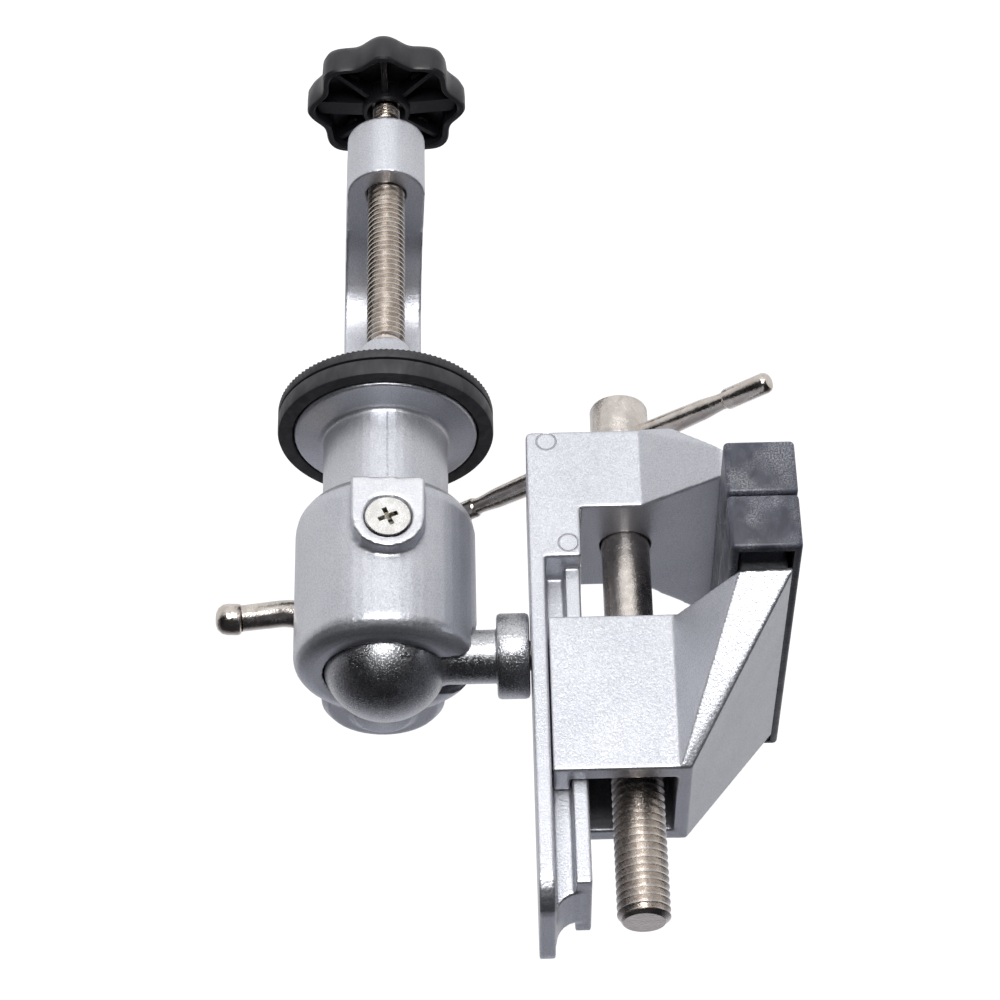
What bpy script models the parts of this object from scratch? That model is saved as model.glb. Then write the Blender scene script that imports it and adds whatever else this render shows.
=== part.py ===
"""Clamp-on swivel vise for small work: C-clamp with a ball socket, ball stem, lever lock and two-jaw vise.

The origin is the centre of the rubber face that rests on the table.
+Z runs up through the ball, +X along the stem and +Y out of the open side of the C.
"""
import math

import bmesh
import bpy
from mathutils import Matrix, Vector

MM = 0.001
GAP = 0.3
STEPS = 40

# The frame stands turned a little in its socket slot, so the stem lies off the slot's middle.
FRAME_TURN = math.radians(-4.0)

# Clamp side
PAD_R, PAD_TOP = 21.75, 3.6
FLANGE_R, FLANGE_TOP = 18.45, 4.0
NECK_R = 12.5
BOSS_R, BOSS_LOW, BOSS_HIGH = 8.3, -74.0, -59.0
SPINE_HALF = 8.35
CLAMP_SCREW_R = 3.95
FOOT_LOW = -18.0
KNOB_TOP, HUB_TOP, KNOB_LOW = -82.7, -82.0, -92.0
KNOB_R, KNOB_WAVE, KNOB_LOBES = 16.1, 1.1, 8

# Socket and ball
HOUSING_R, RIM_Z = 17.7, 59.1
BALL_Z, BALL_R = 55.6, 12.15
SOCKET_R = BALL_R + GAP
SLOT_HALF = 6.7
LOCK_Z = 36.0
LOCK_R = 5.0
CAM_R, CAM_SIDE, CAM_LIFT = 3.4, -0.41, 1.13
TAB_Y, TAB_HALF = 20.3, 7.1
STEM_R, COLLAR_R = 5.2, 8.25

# Vise
RAIL_X0, RAIL_X1, RAIL_X2, RAIL_X3 = 28.0, 31.0, 34.7, 37.7
BODY_HALF, INNER_HALF, WEB_HALF = 14.3, 10.1, 6.2
FIXED_TOP, FIXED_LOW, CORNER_R = 13.4, 31.1, 1.2
JAW_TOP, JAW_LOW = 55.6, 88.2
SCREW_X = 47.1
SHANK_R, THREAD_R = 4.75, 4.95
BAR_X0, BAR_X1, BAR_HALF = 66.4, 75.4, 35.4
COVER_X0, COVER_X1, COVER_HALF = 64.4, 77.6, 37.2
T_BAR_Z = 7.1
T_BAR_TURN = math.atan2(48.0, 66.2)
T_BAR_SHIFT = -5.4

FINISHES = {
    "cast_silver": ((0.62, 0.63, 0.66), 0.45, 0.55),
    "nickel": ((0.75, 0.72, 0.68), 0.22, 1.0),
    "chrome": ((0.78, 0.78, 0.79), 0.14, 1.0),
    "black_plastic": ((0.02, 0.02, 0.022), 0.45, 0.0),
    "black_rubber": ((0.03, 0.03, 0.033), 0.7, 0.0),
    "smoke_rubber": ((0.07, 0.07, 0.08), 0.4, 0.0),
    "steel": ((0.55, 0.54, 0.52), 0.35, 1.0),
}

for old in list(bpy.data.objects):
    bpy.data.objects.remove(old)

PARTS = bpy.data.collections.new("ClampOnSwivelVise")
TOOLS = bpy.data.collections.new("Cutters")
bpy.context.scene.collection.children.link(PARTS)
bpy.context.scene.collection.children.link(TOOLS)


def material(name):
    """The Principled material of one finish, made on first use."""
    if name in bpy.data.materials:
        return bpy.data.materials[name]
    colour, roughness, metallic = FINISHES[name]
    made = bpy.data.materials.new(name)
    made.use_nodes = True
    shader = made.node_tree.nodes["Principled BSDF"]
    shader.inputs["Base Color"].default_value = (*colour, 1.0)
    shader.inputs["Roughness"].default_value = roughness
    shader.inputs["Metallic"].default_value = metallic
    return made


def add_object(name, mesh, finish=None):
    """Links a mesh as a part when it has a finish, and as a hidden tool otherwise."""
    obj = bpy.data.objects.new(name, mesh)
    if finish:
        PARTS.objects.link(obj)
        mesh.materials.append(material(finish))
    else:
        TOOLS.objects.link(obj)
        obj.hide_render = True
        obj.display_type = "WIRE"
    return obj


def mesh_from(build, name):
    """A mesh made by one bmesh function, with its faces turned outwards."""
    bm = bmesh.new()
    build(bm)
    bmesh.ops.remove_doubles(bm, verts=bm.verts, dist=1e-7)
    bmesh.ops.recalc_face_normals(bm, faces=bm.faces)
    mesh = bpy.data.meshes.new(name)
    bm.to_mesh(mesh)
    bm.free()
    return mesh


def placed(points, axis, centre):
    """Points given with z along the local axis, laid along a world axis through the centre, in metres."""
    quarter = math.pi / 2
    turn = {"Z": Matrix(), "X": Matrix.Rotation(quarter, 4, "Y"), "Y": Matrix.Rotation(-quarter, 4, "X")}
    return [(Vector(centre) + turn[axis] @ Vector(p)) * MM for p in points]


def lathe(name, profile, axis="Z", centre=(0, 0, 0), finish=None, steps=STEPS):
    """A solid of revolution. The profile is a list of (radius, height along the axis)."""
    def build(bm):
        verts = [bm.verts.new(p) for p in placed([(r, 0, h) for r, h in profile], axis, centre)]
        edges = [bm.edges.new(pair) for pair in zip(verts, verts[1:])]
        if profile[0][0] > 0 or profile[-1][0] > 0:
            edges.append(bm.edges.new((verts[-1], verts[0])))
        line = placed([(0, 0, 1)], axis, (0, 0, 0))[0].normalized()
        bmesh.ops.spin(bm, geom=verts + edges, cent=Vector(centre) * MM, axis=line,
                       angle=2 * math.pi, steps=steps, use_merge=True)
    obj = add_object(name, mesh_from(build, name), finish)
    return obj


def prism(name, outline, axis, low, high, finish=None):
    """An outline extruded along an axis: X takes (y, z) points, Y takes (x, z), Z takes (x, y)."""
    orders = {"X": lambda a, b, h: (h, a, b), "Y": lambda a, b, h: (a, h, b), "Z": lambda a, b,
        h: (a, b, h)}
    order = orders[axis]

    def build(bm):
        face = bm.faces.new([bm.verts.new(Vector(order(a, b, low)) * MM) for a, b in outline])
        made = bmesh.ops.extrude_face_region(bm, geom=[face])["geom"]
        shift = Vector(order(0, 0, high - low)) * MM
        bmesh.ops.translate(bm, vec=shift, verts=[v for v in made if isinstance(v, bmesh.types.BMVert)])
    return add_object(name, mesh_from(build, name), finish)


def box(name, x0, x1, y0, y1, z0, z1, finish=None):
    return prism(name, [(x0, y0), (x1, y0), (x1, y1), (x0, y1)], "Z", z0, z1, finish)


def hull(name, points, finish=None):
    def build(bm):
        bmesh.ops.convex_hull(bm, input=[bm.verts.new(Vector(p) * MM) for p in points])
    return add_object(name, mesh_from(build, name), finish)


def sweep(name, points, radii, finish=None, sides=3):
    """A round bar of changing radius along a path."""
    curve = bpy.data.curves.new(name, "CURVE")
    curve.dimensions = "3D"
    curve.bevel_depth = MM
    curve.bevel_resolution = sides
    curve.use_fill_caps = True
    spline = curve.splines.new("POLY")
    spline.points.add(len(points) - 1)
    for point, where, radius in zip(spline.points, points, radii):
        point.co = (*(Vector(where) * MM), 1)
        point.radius = radius
    holder = bpy.data.objects.new(name + "_path", curve)
    mesh = bpy.data.meshes.new_from_object(holder)
    bpy.data.objects.remove(holder)
    bm = bmesh.new()
    bm.from_mesh(mesh)
    bmesh.ops.remove_doubles(bm, verts=bm.verts, dist=1e-6)
    bmesh.ops.recalc_face_normals(bm, faces=bm.faces)
    bm.to_mesh(mesh)
    bm.free()
    return add_object(name, mesh, finish)


def combine(body, operation, *others):
    for other in others:
        step = body.modifiers.new(other.name, "BOOLEAN")
        step.operation = operation
        step.solver = "EXACT"
        step.object = other


def join(body, *others):
    combine(body, "UNION", *others)


def cut(body, *others):
    combine(body, "DIFFERENCE", *others)


def settle(obj):
    """Makes an object's modifiers part of its mesh, with slivers and doubled points cleaned away."""
    bpy.context.view_layer.update()
    shape = bpy.data.meshes.new_from_object(obj.evaluated_get(bpy.context.evaluated_depsgraph_get()))
    bm = bmesh.new()
    bm.from_mesh(shape)
    bmesh.ops.remove_doubles(bm, verts=bm.verts, dist=2e-6)
    bmesh.ops.dissolve_degenerate(bm, edges=bm.edges, dist=2e-6)
    bm.to_mesh(shape)
    bm.free()
    obj.modifiers.clear()
    obj.data = shape


def rounded_end(half, centre, low, turns=8):
    """Outline of a strip with one round end: (across, along) points, the round end at the far side."""
    arc = [math.pi * i / turns for i in range(turns + 1)]
    return [(half, low)] + [(half * math.cos(a), centre + half * math.sin(a)) for a in arc] + [(-half, low)]


def arc_points(cx, cy, radius, start, end, steps=6):
    angles = [math.radians(start + (end - start) * i / steps) for i in range(steps + 1)]
    return [(cx + radius * math.cos(a), cy + radius * math.sin(a)) for a in angles]


# ---------------------------------------------------------------- clamp frame
C_PROFILE = (
    [(-6, 25), (-17, 24.5)] + arc_points(-19.5, 7, 17.5, 90, 180, 18)
    + [(-37, -46)] + arc_points(-17.2, -54, 19.8, 180, 270, 18)
    + [(-5.3, -73.8), (-5.3, -59.2)] + arc_points(-10.5, -41.7, 17.5, 270, 180, 18)
    + arc_points(-23.5, -0.3, 4.5, 180, 90) + [(-6, 4.2)]
)
frame = lathe(
    "clamp_frame",
    [(0, 1.8), (FLANGE_R - 0.4, 1.8), (FLANGE_R, 2.2), (FLANGE_R, 3.7), (FLANGE_R - 0.3, FLANGE_TOP),
     (13.1, 5.2), (NECK_R, 5.8), (NECK_R, 22.8), (14.5, 23.2), (16.2, 24.3), (17.3, 26.0),
     (HOUSING_R, 28.0), (HOUSING_R, 55.8), (17.4, 57.0), (16.6, 58.1), (15.4, 58.8), (14.0, RIM_Z),
     (0, RIM_Z)],
    finish="cast_silver", steps=48,
)
join(
    frame,
    prism("spine_solid", C_PROFILE, "X", -SPINE_HALF, SPINE_HALF),
    prism("boss_solid", arc_points(0, 0, BOSS_R, 0, 180, 24) + [(-BOSS_R, -12.0), (BOSS_R, -12.0)], "Z",
        BOSS_LOW, BOSS_HIGH),
    prism("tab_solid", rounded_end(TAB_HALF, LOCK_Z - 0.3, 27.0), "Y", 8.0, TAB_Y),
    lathe("lug_solid", [(0, 43.0), (5.0, 43.0), (12.2, 50.0), (12.2, 55.6), (10.6, 57.4), (0, 57.4)],
        centre=(0, -16.2, 0)),
    lathe("lug_cap_solid", [(0, 54.0), (6.6, 54.0), (6.6, 57.2), (5.6, 58.6), (0, 59.2)],
        centre=(0, -18.2, 0)),
)
socket_arc = arc_points(0, BALL_Z, SOCKET_R, 0, 90, 10)
cut(
    frame,
    lathe("socket_bore", [(0, 29.0), (SOCKET_R, 29.0)] + socket_arc[:-1] + [(0, BALL_Z + SOCKET_R)],
        steps=48),
    prism("stem_slot", [(SLOT_HALF, 62.0)] + arc_points(0, 54.9, SLOT_HALF, 0, -180,
        10) + [(-SLOT_HALF, 62.0)], "X", 3.0, 20.0),
    lathe("lock_bore", [(0, -19.0), (LOCK_R + GAP, -19.0), (LOCK_R + GAP, 14.6), (0, 14.6)], "Y",
        (0, 0, LOCK_Z)),
    lathe("tab_screw_hole", [(0, 10.0), (2.3, 10.0), (2.3, TAB_Y - 2.9), (4.75, TAB_Y - 0.35),
        (4.75, 22.0), (0, 22.0)],
          "Y", (0, 0, LOCK_Z), steps=36),
    lathe("clamp_thread_hole", [(0, -76.0), (CLAMP_SCREW_R + GAP, -76.0), (CLAMP_SCREW_R + GAP, -57.0),
        (0, -57.0)], steps=36),
)

lathe("table_pad", [(0, 0), (PAD_R - 0.3, 0), (PAD_R, 0.3), (PAD_R, PAD_TOP - 0.3), (PAD_R - 0.3, PAD_TOP),
                    (FLANGE_R + GAP, PAD_TOP), (FLANGE_R + GAP, 1.5), (0, 1.5)], finish="black_rubber",
                        steps=48)

# ---------------------------------------------------------------- clamp screw, knob and foot
lathe("clamp_screw", [(0, -9.0), (3.0, -9.0), (3.4, -9.5), (3.4, -11.2), (2.6, -11.2), (2.6, -12.8),
    (3.4, -12.8),
                      (3.4, -18.3), (CLAMP_SCREW_R, -18.9), (CLAMP_SCREW_R, -78.4), (2.9, -79.4),
                      (2.9, -85.0), (3.6, -85.0), (3.6, -89.5), (0, -89.5)], finish="nickel")
knob_outline = []
for i in range(80):
    angle = 2 * math.pi * i / 80
    reach = KNOB_R + KNOB_WAVE * math.cos(KNOB_LOBES * angle)
    knob_outline.append((reach * math.sin(angle), reach * math.cos(angle)))
knob = prism("clamp_knob", knob_outline, "Z", -88.2, KNOB_TOP, "black_plastic")
join(knob, lathe("knob_hub", [(0, -87.5), (5.2, -87.5), (5.2, HUB_TOP), (0, HUB_TOP)]))
DOME = ((0.99, -88.0), (0.94, -89.9), (0.8, -91.3), (0.5, KNOB_LOW))
join(knob, hull("knob_dome", [(x * k, y * k, z) for k, z in DOME for x, y in knob_outline[::2]]))
cut(
    knob,
    lathe("knob_recess", [(5.4, KNOB_TOP + 1), (13.4, KNOB_TOP + 1), (13.4, -87.0), (5.4, -87.0)]),
    lathe("knob_hub_hole", [(0, -80.0), (3.2, -80.0), (3.2, -84.7), (3.9, -84.7), (3.9, -89.8),
        (0, -89.8)]),
)
lathe("clamp_foot", [(0, -2.4), (18.2, -2.4), (18.2, -3.6), (12.0, -5.0), (8.0, -9.0), (5.6, -15.5),
    (4.9, FOOT_LOW),
                     (3.7, FOOT_LOW), (3.7, -13.1), (4.6, -13.1), (4.6, -10.9), (3.7, -10.9),
                         (3.7, -8.6), (0, -8.6)],
      finish="cast_silver", steps=48)
lathe("foot_retaining_ring", [(2.9, -11.5), (4.3, -11.5), (4.3, -12.5), (2.9, -12.5)], finish="steel")
lathe("foot_pad", [(0, -0.3), (PAD_R - 0.3, -0.3), (PAD_R, -0.6), (PAD_R, -2.3), (PAD_R - 0.5, -2.8),
    (18.5, -2.8), (18.5, -2.1), (0, -2.1)],
      finish="black_rubber", steps=48)

# ---------------------------------------------------------------- ball and its lock
ball = lathe("ball_stem", arc_points(0, 0, BALL_R, -90, 90, 20), centre=(0, 0, BALL_Z), finish="chrome",
    steps=48)
join(ball, lathe("stem_solid", [(0, 6.0), (STEM_R, 6.0), (STEM_R, 21.4), (COLLAR_R - 0.6, 21.4),
    (COLLAR_R, 22.0),
                                (COLLAR_R, 27.1), (COLLAR_R - 0.6, 27.7), (0, 27.7)], "X", (0, 0, BALL_Z)))
cut(ball, lathe("stem_bolt_hole", [(0, 12.0), (3.2, 12.0), (3.2, 29.0), (0, 29.0)], "X", (0, 0, BALL_Z)))

cup_arc = arc_points(0, BALL_Z, SOCKET_R, -90, -40, 5)
SHOE_LOW = LOCK_Z + CAM_LIFT + CAM_R + GAP
lathe("brake_shoe", cup_arc + [(12.1, cup_arc[-1][1]), (12.1, 43.4), (8.6, 42.0), (8.6, SHOE_LOW),
    (0, SHOE_LOW)], finish="steel", steps=48)

shaft = lathe("lock_shaft", [(0, -26.9), (3.6, -26.9), (3.6, -18.7), (LOCK_R, -18.7), (LOCK_R, -9.0),
    (3.2, -9.0),
                             (3.2, 9.0), (LOCK_R, 9.0), (LOCK_R, 14.3), (0, 14.3)], "Y", (0, 0, LOCK_Z),
                                 "steel")
join(shaft, lathe("eccentric_solid", [(0, -9.1), (CAM_R, -9.1), (CAM_R, 9.1), (0, 9.1)], "Y",
    (CAM_SIDE, 0, LOCK_Z + CAM_LIFT)))
cut(shaft,
    lathe("shaft_front_hole", [(0, 6.5), (2.2, 6.5), (2.2, 15.0), (0, 15.0)], "Y", (0, 0, LOCK_Z)),
    lathe("shaft_rear_hole", [(0, -28.0), (1.8, -28.0), (1.8, -20.0), (0, -20.0)], "Y", (0, 0, LOCK_Z)))
front_screw = lathe("lock_shaft_screw", [(0, 6.9), (1.9, 6.9), (1.9, TAB_Y - 2.8), (4.4, TAB_Y - 0.3),
    (4.4, TAB_Y), (0, TAB_Y)],
                    "Y", (0, 0, LOCK_Z), "nickel")
cut(front_screw,
    box("cross_slot_a", -2.3, 2.3, TAB_Y - 1.2, TAB_Y + 1, LOCK_Z - 0.45, LOCK_Z + 0.45),
    box("cross_slot_b", -0.45, 0.45, TAB_Y - 1.2, TAB_Y + 1, LOCK_Z - 2.3, LOCK_Z + 2.3))

LEVER_PATH = [(-3, -23.1, 35.6), (-8, -22.7, 34.3), (-13, -21.8, 33.3), (-18.8, -21.0, 32.9),
    (-23.5, -20.4, 33.8), (-28.6, -19.9, 34.9)]
lever = lathe("lock_lever", [(3.9, -18.9), (6.0, -18.9), (6.6, -19.5), (6.6, -25.6), (5.8, -26.5),
    (3.9, -26.5)], "Y", (0, 0, LOCK_Z), "chrome")
arm = sweep("lever_arm", LEVER_PATH, [3.7, 3.8, 3.3, 2.8, 2.7, 2.65])
BULB = (-30.6, -19.9, 35.1)
join(lever, arm, lathe("lever_bulb", [(0, -3.0), (1.8, -2.8), (2.9, -1.9), (3.2, -0.5), (3.15, 0.9),
    (2.7, 2.1), (1.6, 2.9), (0, 3.0)], "X", BULB, steps=24))
cut(lever, lathe("lever_hub_bore", [(0, -28.0), (3.9, -28.0), (3.9, -18.0), (0, -18.0)], "Y",
    (0, 0, LOCK_Z)))
lathe("lever_screw", [(0, -29.4), (4.6, -29.4), (5.0, -29.0), (5.0, -27.2), (1.5, -27.2), (1.5, -20.4),
    (0, -20.4)], "Y", (0, 0, LOCK_Z), "nickel")

for name in ("clamp_frame", "lock_shaft", "lock_shaft_screw", "lock_lever", "lever_screw"):
    settle(bpy.data.objects[name])
    bpy.data.objects[name].rotation_euler.z = FRAME_TURN

# ---------------------------------------------------------------- rail with the fixed jaw
TONGUE = [(BODY_HALF, FIXED_TOP + CORNER_R), (BODY_HALF, 108.5)] + arc_points(8.3, 108.5, 6.0, 0, 90)[1:]
TONGUE += [(-a, b) for a, b in reversed(TONGUE)]
rail = prism("rail_fixed_jaw", TONGUE, "X", RAIL_X0, RAIL_X1, "cast_silver")
web_end = [(RAIL_X1 - 1, 113.0)] + arc_points(35.4, 113.2, 4.2, 180, 260, 5) + [(RAIL_X2 + 1, 109.0)]
join(
    rail,
    prism("web_solid", [(RAIL_X1 - 1, 30.0)] + web_end + [(RAIL_X2 + 1, 30.0)], "Y", -WEB_HALF, WEB_HALF),
    box("inner_wall", RAIL_X2, RAIL_X3, -INNER_HALF, INNER_HALF, 30.0, 108.8),
    box("jaw_leg", RAIL_X0, RAIL_X3 + 0.3, -BODY_HALF, BODY_HALF, 30.0, 42.2),
    prism("jaw_block", arc_points(RAIL_X0 + CORNER_R, FIXED_TOP + CORNER_R, CORNER_R, 180, 270, 4)
          + [(53.7, FIXED_TOP), (53.7, FIXED_LOW), (RAIL_X0, FIXED_LOW)], "Y", -BODY_HALF, BODY_HALF),
    hull("fixed_nose", [(x, s * y, z) for s in (-1, 1) for x, y, z in (
        (50.0, 14.3, FIXED_TOP), (53.7, 14.3, FIXED_TOP), (56.6, 16.8, 14.9), (64.5, 24.8, 25.0),
            (70.3, 27.0, 32.0),
        (64.5, 24.8, 32.0), (53.7, 14.3, FIXED_LOW), (50.0, 14.3, FIXED_LOW))]),
    box("fixed_bar", BAR_X0, BAR_X1, -BAR_HALF, BAR_HALF, 32.3, 42.2),
    box("fixed_bar_root", BAR_X0, 69.6, -26.0, 26.0, 30.6, 33.0),
)
cut(
    rail,
    lathe("fixed_screw_hole", [(0, 10.0), (SHANK_R + GAP, 10.0), (SHANK_R + GAP, 35.0), (0, 35.0)],
        centre=(SCREW_X, 0, 0)),
    lathe("pin_hole", [(0, -16.0), (1.5, -16.0), (1.5, 8.5), (0, 8.5)], "Y", (SCREW_X - 4.6, 0, 22.0),
        steps=16),
    lathe("rail_bolt_hole", [(0, 26.0), (3.3, 26.0), (3.3, 33.6), (5.1, 33.6), (5.1, 39.0), (0, 39.0)],
        "X", (0, 0, BALL_Z)),
)
lathe("stem_bolt", [(0, 12.6), (2.9, 12.6), (2.9, 33.9), (4.8, 33.9), (4.8, 37.3), (0, 37.3)], "X",
    (0, 0, BALL_Z), "steel")

# ---------------------------------------------------------------- sliding jaw
jaw = box("sliding_jaw", RAIL_X1 + GAP, 56.4, -14.2, 14.2, JAW_TOP, JAW_LOW, "cast_silver")
join(
    jaw,
    hull("sliding_nose", [(x, s * y, z) for s in (-1, 1) for x, y, z in (
        (52.0, 9.0, 56.2), (54.6, 14.2, 56.2), (66.2, 30.0, 56.2), (75.9, 30.8, 56.2), (75.9, 30.8, 57.2),
        (56.5, 14.1, JAW_LOW + 0.02), (54.4, 14.2, JAW_LOW + 0.02), (52.0, 9.0, JAW_LOW + 0.02))]),
    box("sliding_bar", BAR_X0, BAR_X1, -BAR_HALF, BAR_HALF, 46.0, 51.5),
    box("sliding_bar_root", BAR_X0, BAR_X1, -29.4, 29.4, 50.5, 57.6),
)
cut(
    jaw,
    box("jaw_hollow", RAIL_X2 - GAP, 54.0, -INNER_HALF - GAP, INNER_HALF + GAP, 61.0, 90.0),
    box("inner_wall_way", RAIL_X2 - GAP, RAIL_X3 + GAP, -INNER_HALF - GAP, INNER_HALF + GAP, 50.0, 62.0),
    box("web_way", 30.0, RAIL_X2, -WEB_HALF - GAP, WEB_HALF + GAP, 50.0, 92.0),
    lathe("jaw_screw_hole", [(0, 50.0), (THREAD_R + 0.4, 50.0), (THREAD_R + 0.4, 62.0), (0, 62.0)],
        centre=(SCREW_X, 0, 0)),
)
nut = box("jaw_nut", SCREW_X - 6.6, SCREW_X + 6.5, -8.0, 8.0, 61.3, 69.5, "steel")
cut(nut, lathe("nut_thread", [(0, 60.0), (THREAD_R + GAP, 60.0), (THREAD_R + GAP, 71.0), (0, 71.0)],
    centre=(SCREW_X, 0, 0)))

# ---------------------------------------------------------------- jaw covers
for name, low, high, open_low, open_high in (
    ("fixed_jaw_cover", 32.3, 43.95, 30.0, 42.5),
    ("sliding_jaw_cover", 44.25, 55.9, 45.7, 58.0),
):
    cover = box(name, COVER_X0, COVER_X1, -COVER_HALF, COVER_HALF, low, high, "smoke_rubber")
    cut(cover, box(name + "_pocket", BAR_X0 - GAP, BAR_X1 + GAP, -BAR_HALF - GAP, BAR_HALF + GAP,
        open_low, open_high))

# ---------------------------------------------------------------- vise screw and its bar
screw = lathe("vise_screw", [(0, -1.5), (5.2, -1.5), (5.83, -0.9), (5.83, 12.0), (SHANK_R, 12.0),
    (SHANK_R, 20.2),
                             (3.0, 20.2), (3.0, 23.8), (SHANK_R, 23.8), (SHANK_R, 60.5), (THREAD_R, 60.9),
                             (THREAD_R, 110.8), (4.0, 112.2), (0, 112.2)], centre=(SCREW_X, 0, 0),
                                 finish="nickel")
along = Vector((math.cos(T_BAR_TURN), math.sin(T_BAR_TURN), 0))
T_CENTRE = Vector((SCREW_X, 0, T_BAR_Z)) + along * T_BAR_SHIFT
T_PROFILE = [(-40.9, 1.2), (-40.5, 1.8), (-39.6, 2.15), (-31.5, 2.0), (-30.2, 1.75), (-29.0, 1.75),
    (-20.0, 2.2), (0, 2.45)]
T_PROFILE += [(-s, r) for s, r in reversed(T_PROFILE[:-1])]
t_bar = sweep("t_bar", [T_CENTRE + along * s for s, _ in T_PROFILE], [r for _, r in T_PROFILE], "nickel")
cut(screw, sweep("bar_hole", [Vector((SCREW_X, 0, T_BAR_Z)) + along * s for s in (-9, 9)], [2.8, 2.8]))
lathe("thrust_washer", [(SHANK_R + GAP, 12.3), (7.0, 12.3), (7.0, 13.1), (SHANK_R + GAP, 13.1)],
    centre=(SCREW_X, 0, 0), finish="steel")
lathe("screw_retaining_pin", [(0, -14.1), (1.2, -14.1), (1.2, 8.0), (0, 8.0)], "Y",
    (SCREW_X - 4.6, 0, 22.0), "steel", steps=16)

SMOOTH = ("clamp_screw", "ball_stem", "vise_screw", "t_bar", "lock_lever", "table_pad", "foot_pad",
    "clamp_foot")
for name in SMOOTH:
    for face in bpy.data.objects[name].data.polygons:
        face.use_smooth = True
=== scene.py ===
"""Looks of the clamp-on swivel vise: detailed pieces, procedural materials, studio light and camera."""
import math

import bmesh
import bpy
from mathutils import Matrix, Vector


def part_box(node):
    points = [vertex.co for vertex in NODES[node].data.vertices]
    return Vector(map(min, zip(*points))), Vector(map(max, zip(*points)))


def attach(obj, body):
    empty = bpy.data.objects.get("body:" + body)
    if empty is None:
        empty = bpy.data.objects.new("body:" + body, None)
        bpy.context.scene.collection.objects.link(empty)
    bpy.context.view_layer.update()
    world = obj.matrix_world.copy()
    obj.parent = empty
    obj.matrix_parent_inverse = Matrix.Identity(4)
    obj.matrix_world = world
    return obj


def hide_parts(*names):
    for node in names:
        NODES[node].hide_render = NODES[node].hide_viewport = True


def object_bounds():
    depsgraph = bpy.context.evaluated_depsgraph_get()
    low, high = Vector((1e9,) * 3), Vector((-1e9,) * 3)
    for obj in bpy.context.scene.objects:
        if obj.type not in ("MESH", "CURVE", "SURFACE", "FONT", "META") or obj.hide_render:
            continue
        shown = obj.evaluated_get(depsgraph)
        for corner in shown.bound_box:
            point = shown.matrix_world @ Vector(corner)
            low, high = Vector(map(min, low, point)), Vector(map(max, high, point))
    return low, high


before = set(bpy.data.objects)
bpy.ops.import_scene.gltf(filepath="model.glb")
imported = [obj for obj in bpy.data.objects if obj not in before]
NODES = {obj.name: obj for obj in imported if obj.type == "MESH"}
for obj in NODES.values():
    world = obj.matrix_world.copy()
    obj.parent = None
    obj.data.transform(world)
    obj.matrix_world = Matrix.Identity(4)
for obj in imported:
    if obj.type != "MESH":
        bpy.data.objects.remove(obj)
CAD_BOX = [list(corner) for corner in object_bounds()]

MM = 0.001
ROUND = 96
FRAME_TURN = math.radians(-4.0)  # the clamp frame and its lock are turned this far about the clamp's axis

# Places taken from the CAD nodes, in millimetres.
SCREW_LOW, SCREW_HIGH = (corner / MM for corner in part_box("vise_screw"))
SCREW_X = (SCREW_LOW.x + SCREW_HIGH.x) / 2
KNOB_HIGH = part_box("clamp_knob")[1] / MM
BALL_LOW, BALL_HIGH = (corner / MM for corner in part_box("ball_stem"))
BALL_R = -BALL_LOW.x
BALL_Z = (BALL_LOW.z + BALL_HIGH.z) / 2
LOCK_Z = 36.0
T_BAR_Z = 7.1

# Marks in the castings' surface, in millimetres: the neck's mould seam, the ground face of the tab, and
# the ejector pins' rings on the rail, as (X, Z).
SEAM_X, SEAM_LOW, SEAM_HIGH = 0.9, 5.5, 23.0
TAB_FACE_Y, TAB_FACE_LOW = 20.14, 24.5
EJECTOR_MARKS, MARK_R, RAIL_FACE_Y = ((32.0, 15.7), (35.6, 39.2)), 1.9, 13.7
# Below this Y, down in the cross screw's slots, the bright nickel gets painted shade.
SLOT_SHADE_Y = 20.0


# ---------------------------------------------------------------- materials
class NodeTree:
    """Short calls that add nodes to a material's or a world's tree."""

    def __init__(self, owner):
        owner.use_nodes = True
        self.nodes = owner.node_tree.nodes
        self.links = owner.node_tree.links

    def node(self, kind, inputs=(), **settings):
        made = self.nodes.new(kind)
        for key, value in settings.items():
            setattr(made, key, value)
        for key, value in dict(inputs).items():
            if isinstance(value, bpy.types.NodeSocket):
                self.links.new(value, made.inputs[key])
            else:
                made.inputs[key].default_value = value
        return made

    def math(self, operation, a, b=0.0):
        return self.node("ShaderNodeMath", {0: a, 1: b}, operation=operation).outputs[0]

    def span(self, value, low, high, to_low=0.0, to_high=1.0):
        return self.node("ShaderNodeMapRange", {"Value": value, "From Min": low, "From Max": high,
                                                "To Min": to_low, "To Max": to_high}).outputs[0]


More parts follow.
